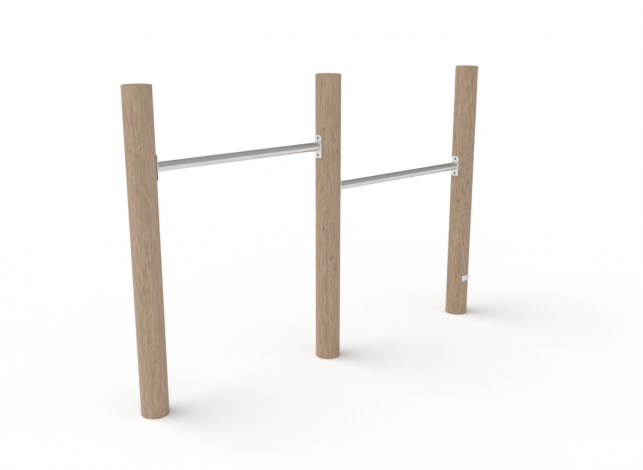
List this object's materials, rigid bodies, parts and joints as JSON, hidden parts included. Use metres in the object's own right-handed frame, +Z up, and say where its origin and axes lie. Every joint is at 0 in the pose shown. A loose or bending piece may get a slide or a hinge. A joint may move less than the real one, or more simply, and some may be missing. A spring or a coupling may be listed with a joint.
{
  "type": "double turning bar",
  "caption": "Playground turning bars: round timber posts in a row, joined by a high and a low steel grip tube on screwed end plates.",
  "frame": {"origin": "centre of the middle post's foot, on the ground", "axes": "+X along the bars from the left to the right post, +Z up the posts, -Y the side with the label plate"},
  "size_m": [2.153, 0.1248, 1.45],
  "materials": {
    "post_wood": "planed and oiled round timber",
    "tube_steel": "satin stainless tube",
    "flange_steel": "satin stainless plate",
    "weld_steel": "pickled weld bead",
    "black_screw": "black zinc coating",
    "label_plate": "matt anodised, blank",
    "label_screw": "stainless"
  },
  "bodies": {
    "root": {"label_plate": "label_plate", "label_screws": "label_screw", "left_post": "post_wood", "lower_bar_left_flange": "flange_steel", "lower_bar_left_screws": "black_screw", "lower_bar_left_weld": "weld_steel", "lower_bar_right_flange": "flange_steel", "lower_bar_right_screws": "black_screw", "lower_bar_right_weld": "weld_steel", "lower_bar_tube": "tube_steel", "middle_post": "post_wood", "right_post": "post_wood", "upper_bar_left_flange": "flange_steel", "upper_bar_left_screws": "black_screw", "upper_bar_left_weld": "weld_steel", "upper_bar_right_flange": "flange_steel", "upper_bar_right_screws": "black_screw", "upper_bar_right_weld": "weld_steel", "upper_bar_tube": "tube_steel"}
  },
  "joints": []
}
